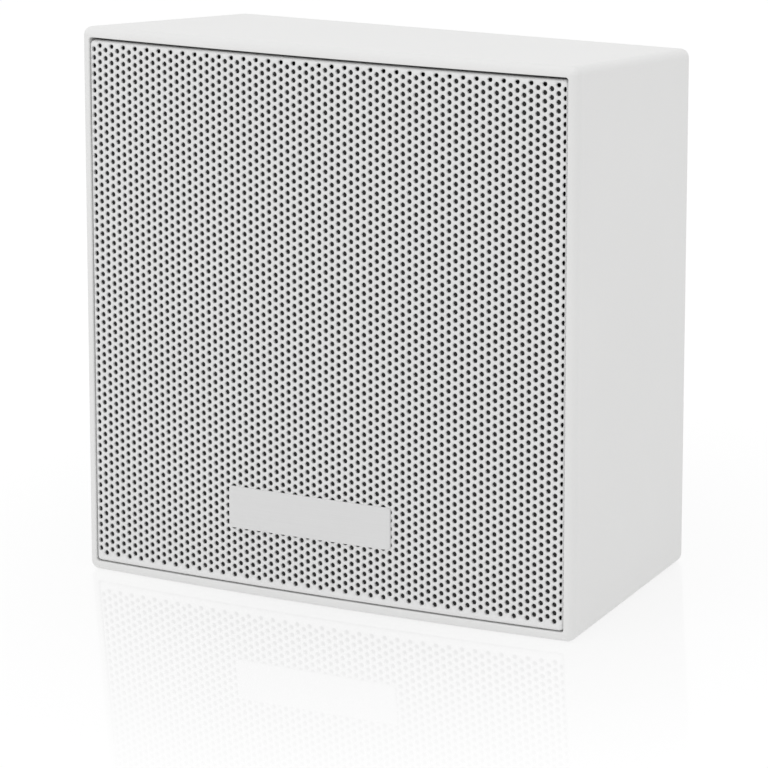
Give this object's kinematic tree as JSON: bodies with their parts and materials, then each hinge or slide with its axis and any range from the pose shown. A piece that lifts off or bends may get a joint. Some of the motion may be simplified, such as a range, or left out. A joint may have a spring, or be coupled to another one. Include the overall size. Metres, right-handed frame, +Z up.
{
  "type": "garden speaker",
  "caption": "Square white weatherproof box loudspeaker with drafted sides, a flush perforated steel grille, a bare badge plate, and a woofer, tweeter and recessed terminals inside.",
  "frame": {"origin": "centre of the object's bounding box at the bottom wall, on the surface it stands on", "axes": "+X to the right seen from the front, +Y to the back, +Z up. The drafted bottom wall lies flat, so the front leans back by the draft angle and the depth axis dips towards the back"},
  "size_m": [0.2354, 0.1342, 0.235],
  "materials": {
    "case_plastic": "fine-textured white moulding",
    "grille_paint": "white powder coat on perforated sheet",
    "badge_metal": "satin, bare",
    "cloth": "open weave, dark",
    "baffle_plastic": "dark moulding",
    "seal_rubber": "soft, matt",
    "foam": "open-cell foam",
    "screw_steel": "zinc plated",
    "basket_paint": "black, satin",
    "ferrite": "ground, dark grey",
    "plate_steel": "zinc plated",
    "cone_plastic": "black polypropylene",
    "surround_rubber": "satin",
    "spider_cloth": "resin-stiffened weave",
    "former_foil": "plain foil",
    "copper": "enamelled copper wire",
    "board": "resin-bonded board",
    "capacitor_film": "dipped sleeve",
    "resistor_ceramic": "cement-filled",
    "wire_sleeve": "soft sleeve",
    "terminal_plastic": "black moulding",
    "contact_brass": "tinned",
    "dome_film": "thin polymer dome",
    "strip_board": "laminated strip"
  },
  "bodies": {
    "enclosure": {"badge": "badge_metal", "baffle": "baffle_plastic", "baffle_screws": "screw_steel", "baffle_seal": "seal_rubber", "bass_port": "baffle_plastic", "board_screws": "screw_steel", "cabinet": "case_plastic", "crossover_board": "board", "crossover_capacitors": "capacitor_film", "crossover_inductors": "copper", "crossover_resistor": "resistor_ceramic", "damping_foam": "foam", "grille": "grille_paint", "grille_cloth": "cloth", "input_wires": "wire_sleeve", "terminal_block": "terminal_plastic", "terminal_clamp_screws": "screw_steel", "terminal_cup": "terminal_plastic", "terminal_pins": "contact_brass", "terminal_screws": "screw_steel", "terminal_seal": "seal_rubber", "tweeter_dome": "dome_film", "tweeter_faceplate": "baffle_plastic", "tweeter_magnet": "ferrite", "tweeter_pins": "contact_brass", "tweeter_screws": "screw_steel", "tweeter_tag_strip": "strip_board", "tweeter_top_plate": "plate_steel", "tweeter_wires": "wire_sleeve", "tweeter_yoke": "plate_steel", "woofer_basket": "basket_paint", "woofer_gasket": "seal_rubber", "woofer_magnet": "ferrite", "woofer_screws": "screw_steel", "woofer_spider": "spider_cloth", "woofer_surround": "surround_rubber", "woofer_tag_strip": "strip_board", "woofer_tags": "contact_brass", "woofer_top_plate": "plate_steel", "woofer_wires": "wire_sleeve", "woofer_yoke": "plate_steel"},
    "cone": {"woofer_cone": "cone_plastic", "woofer_dust_cap": "cone_plastic", "voice_coil_former": "former_foil", "voice_coil_winding": "copper"}
  },
  "joints": [
    {"name": "cone_slide", "type": "slide", "parent": "enclosure", "child": "cone", "axis": [0, -0.9978, 0.0657], "range_m": [-0.004, 0.004], "stiffness_N_per_m": 1200, "deforming": ["woofer_surround", "woofer_spider"]}
  ]
}
